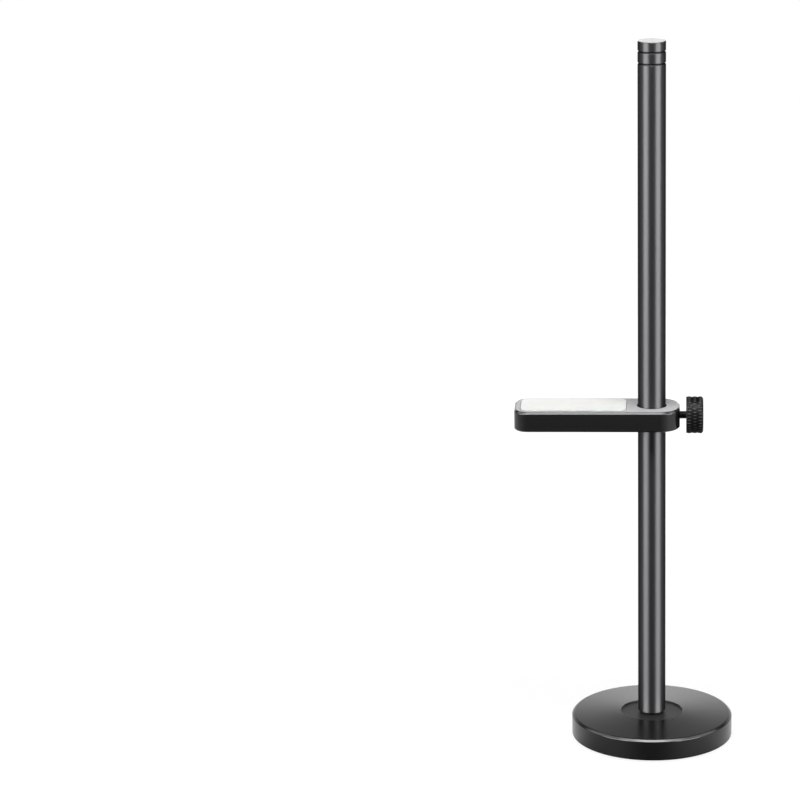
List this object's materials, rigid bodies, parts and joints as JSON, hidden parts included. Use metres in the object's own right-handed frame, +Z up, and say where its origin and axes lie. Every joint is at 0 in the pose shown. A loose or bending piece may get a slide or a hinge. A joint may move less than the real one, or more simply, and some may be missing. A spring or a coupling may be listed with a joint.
{
  "type": "graphics card support bracket",
  "caption": "Free-standing support bracket: a round weighted base, a slim column, and a padded arm that slides and swings on it and is clamped by a knurled thumb screw.",
  "frame": {"origin": "centre of the foot pad's underside, on the floor under the column's axis", "axes": "+Z up along the column, -X along the arm to its square end, +X along the thumb screw to its knob"},
  "size_m": [0.0865, 0.0644, 0.2839],
  "materials": {
    "base_paint": "satin black powder coat on steel",
    "foot_rubber": "matt black rubber",
    "column_anodised": "satin black anodised",
    "arm_anodised": "fine blasted, satin black anodised",
    "pad_silicone": "matt off-white silicone",
    "knob_anodised": "knurled, black anodised",
    "black_oxide_steel": "black oxide"
  },
  "bodies": {
    "base": {"base_weight": "base_paint", "foot_pad": "foot_rubber"},
    "column": {"column": "column_anodised", "column_screw": "black_oxide_steel"},
    "arm": {"support_arm": "arm_anodised", "arm_pad": "pad_silicone"},
    "stud": {"clamp_stud": "black_oxide_steel"},
    "knob": {"clamp_knob": "knob_anodised"}
  },
  "joints": [
    {"name": "arm_swing", "type": "hinge", "parent": "base", "child": "column", "pos_m": [0, 0, 0], "axis": [0, 0, 1], "continuous": true},
    {"name": "arm_height", "type": "slide", "parent": "column", "child": "arm", "axis": [0, 0, 1], "range_m": [-0.116, 0.136]},
    {"name": "stud_travel", "type": "slide", "parent": "arm", "child": "stud", "axis": [1, 0, 0], "range_m": [0, 0.0015]},
    {"name": "knob_turn", "type": "hinge", "parent": "stud", "child": "knob", "pos_m": [0.0136, 0, 0.13455], "axis": [1, 0, 0], "range_deg": [0, 1080]}
  ],
  "couplings": [
    {"joint": "knob_turn", "follows": "stud_travel", "rad_per_m": 12566}
  ]
}
